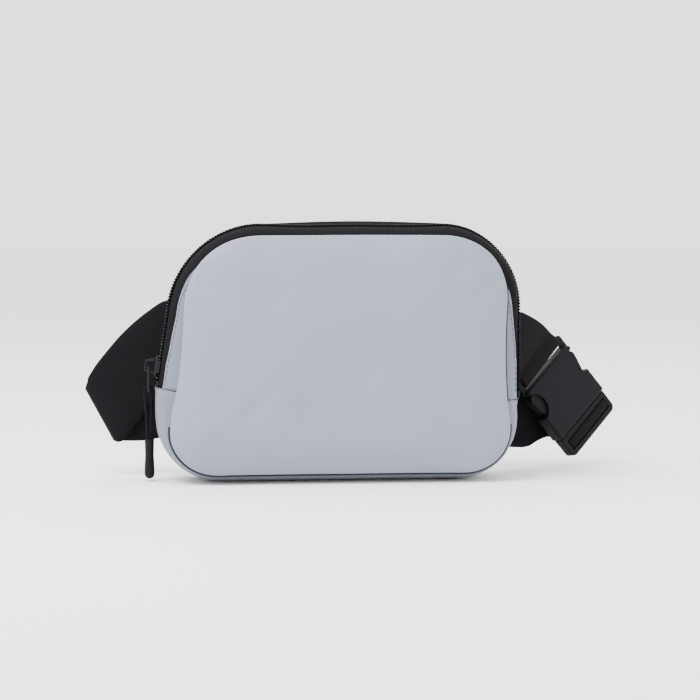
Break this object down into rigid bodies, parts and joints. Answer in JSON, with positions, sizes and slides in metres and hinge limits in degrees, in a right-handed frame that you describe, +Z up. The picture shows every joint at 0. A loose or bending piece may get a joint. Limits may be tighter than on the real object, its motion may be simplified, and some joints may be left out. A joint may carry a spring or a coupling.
{
  "type": "belt bag",
  "caption": "Small zipped pouch on a webbing waist strap: padded front, wraparound coil zip with corded pull, rear zip pocket, folded spare strap, side-release buckle.",
  "frame": {"origin": "Centre of the pouch's flat base, midway between the front and rear seams, on the surface it stands on.", "axes": "+Z up; +X along the waist strap, to the right as seen from the front; +Y from the front panel to the wearer's side."},
  "size_m": [0.2908, 0.0939, 0.1348],
  "materials": {
    "shell": "light grey woven nylon, fine plain weave, soft sheen",
    "foam": "thin sheet foam padding",
    "lining": "dark grey thin woven lining",
    "binding": "black woven binding tape",
    "zip_tape": "black woven zip tape",
    "zip_coil": "black nylon coil",
    "zip_metal": "black lacquered zinc, slightly worn edges",
    "cord": "black braided cord",
    "tip": "black moulded soft plastic",
    "webbing": "black ribbed nylon webbing",
    "elastic": "black knitted elastic",
    "buckle": "black acetal, fine moulded grain"
  },
  "bodies": {
    "pouch": {"bottom_gusset": "shell", "gusset_lining": "lining", "rear_facing": "shell", "rear_zip_tape": "zip_tape", "rear_zip_coil": "zip_coil", "rear_seam_binding": "binding", "zip_stops": "zip_metal", "back_panel": "shell", "back_padding": "foam", "back_lining": "lining", "pocket_lining": "lining", "pocket_zip_tape_lower": "zip_tape", "pocket_zip_tape_upper": "zip_tape", "pocket_zip_coil_lower": "zip_coil", "pocket_zip_coil_upper": "zip_coil", "slip_pocket": "lining", "slip_pocket_hem": "binding", "strap_fixed": "webbing", "strap_free": "webbing", "buckle_socket": "buckle"},
    "front": {"front_panel": "shell", "front_padding": "foam", "front_lining": "lining", "front_facing": "shell", "front_zip_tape": "zip_tape", "front_zip_coil": "zip_coil", "front_seam_binding": "binding"},
    "slider": {"main_slider": "zip_metal"},
    "pull": {"main_pull_tab": "zip_metal"},
    "pull_end": {"pull_cord": "cord", "pull_tip": "tip"},
    "pocket_slider": {"pocket_slider": "zip_metal"},
    "pocket_pull": {"pocket_pull_tab": "zip_metal"},
    "keeper": {"strap_keeper": "elastic"},
    "plug": {"buckle_plug": "buckle", "strap_end": "webbing"},
    "prong_upper": {"buckle_prong_upper": "buckle"},
    "prong_lower": {"buckle_prong_lower": "buckle"}
  },
  "joints": [
    {"name": "mouth_open", "type": "hinge", "parent": "pouch", "child": "front", "pos_m": [0, -0.021, 0.0063], "axis": [1, 0, 0], "range_deg": [0, 16], "deforming": ["front_facing", "front_zip_tape", "front_zip_coil", "bottom_gusset", "gusset_lining"]},
    {"name": "zip_travel", "type": "slide", "parent": "pouch", "child": "slider", "axis": [0.1533, 0, 0.9882], "range_m": [0, 0.026]},
    {"name": "pull_flip", "type": "hinge", "parent": "slider", "child": "pull", "pos_m": [-0.09864, -0.001, 0.05887], "axis": [0, 1, 0], "range_deg": [0, 100]},
    {"name": "pull_end_swing", "type": "hinge", "parent": "pull", "child": "pull_end", "pos_m": [-0.09864, -0.001, 0.04777], "axis": [0, 1, 0], "range_deg": [0, 16.5]},
    {"name": "pocket_zip_travel", "type": "slide", "parent": "pouch", "child": "pocket_slider", "axis": [1, 0, 0], "range_m": [-0.004, 0.088]},
    {"name": "pocket_pull_flip", "type": "hinge", "parent": "pocket_slider", "child": "pocket_pull", "pos_m": [-0.0398, 0.02495, 0.103], "axis": [0, 0, 1], "range_deg": [0, 125]},
    {"name": "keeper_travel", "type": "slide", "parent": "pouch", "child": "keeper", "axis": [1, 0, 0], "range_m": [-0.03, 0.03]},
    {"name": "buckle_release", "type": "slide", "parent": "pouch", "child": "plug", "axis": [0.6178, 0.1787, -0.7658], "range_m": [0, 0.032]},
    {"name": "prong_upper_squeeze", "type": "hinge", "parent": "plug", "child": "prong_upper", "pos_m": [0.14437, 0.0525, 0.03604], "axis": [0.4626, -0.8701, 0.1702], "range_deg": [0, 17.5]},
    {"name": "prong_lower_squeeze", "type": "hinge", "parent": "plug", "child": "prong_lower", "pos_m": [0.12975, 0.04193, 0.02177], "axis": [-0.4626, 0.8701, -0.1702], "range_deg": [0, 17.5]}
  ],
  "couplings": [
    {"joint": "pull_end_swing", "follows": "zip_travel", "rad_per_m": 11},
    {"joint": "prong_upper_squeeze", "follows": "buckle_release", "rad_per_m": 9.5},
    {"joint": "prong_lower_squeeze", "follows": "buckle_release", "rad_per_m": 9.5}
  ]
}
